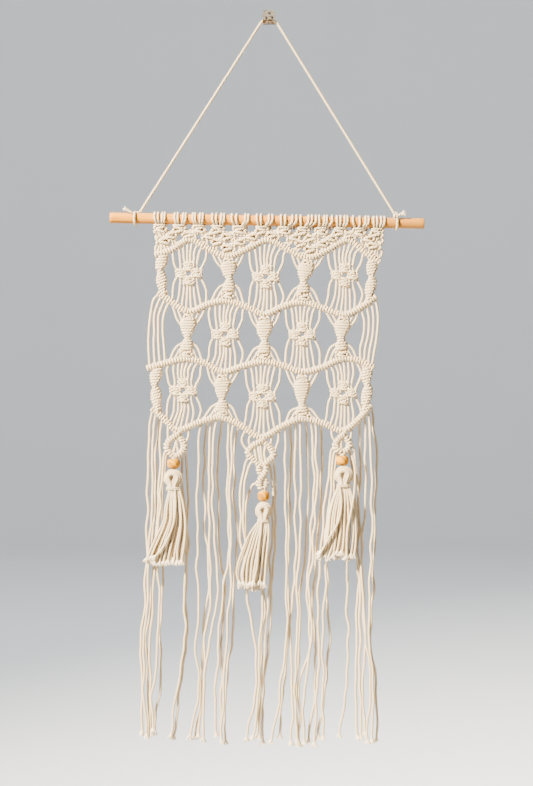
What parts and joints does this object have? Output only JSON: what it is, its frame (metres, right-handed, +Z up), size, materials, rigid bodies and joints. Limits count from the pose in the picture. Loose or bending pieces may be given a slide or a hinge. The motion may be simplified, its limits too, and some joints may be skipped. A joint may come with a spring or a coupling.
{
  "type": "macrame wall hanging on a wooden rod",
  "caption": "Knotted cotton cord wall hanging on a round wooden rod, with zigzag bars, flower knots, beads, tassels, a long fringe, a hanging cord and a small nail-on hook.",
  "frame": {"origin": "middle of the hook's flat back face, on the wall", "axes": "+Z up the wall, +X to the right as seen from the room, +Y into the wall"},
  "size_m": [0.3552, 0.0208, 0.8336],
  "materials": {
    "cotton_cord": "soft matt cream cotton cord",
    "rod_wood": "smooth pinkish beech",
    "bead_wood": "turned pale wood, satin",
    "hook_steel": "worn plated steel"
  },
  "bodies": {
    "root": {"rod": "rod_wood", "net": "cotton_cord", "fringe": "cotton_cord", "bead_left": "bead_wood", "bead_centre": "bead_wood", "bead_right": "bead_wood", "tassel_left": "cotton_cord", "tassel_centre": "cotton_cord", "tassel_right": "cotton_cord", "rod_tie_left": "cotton_cord", "rod_tie_right": "cotton_cord", "hanging_cord": "cotton_cord", "hook": "hook_steel"}
  },
  "joints": []
}
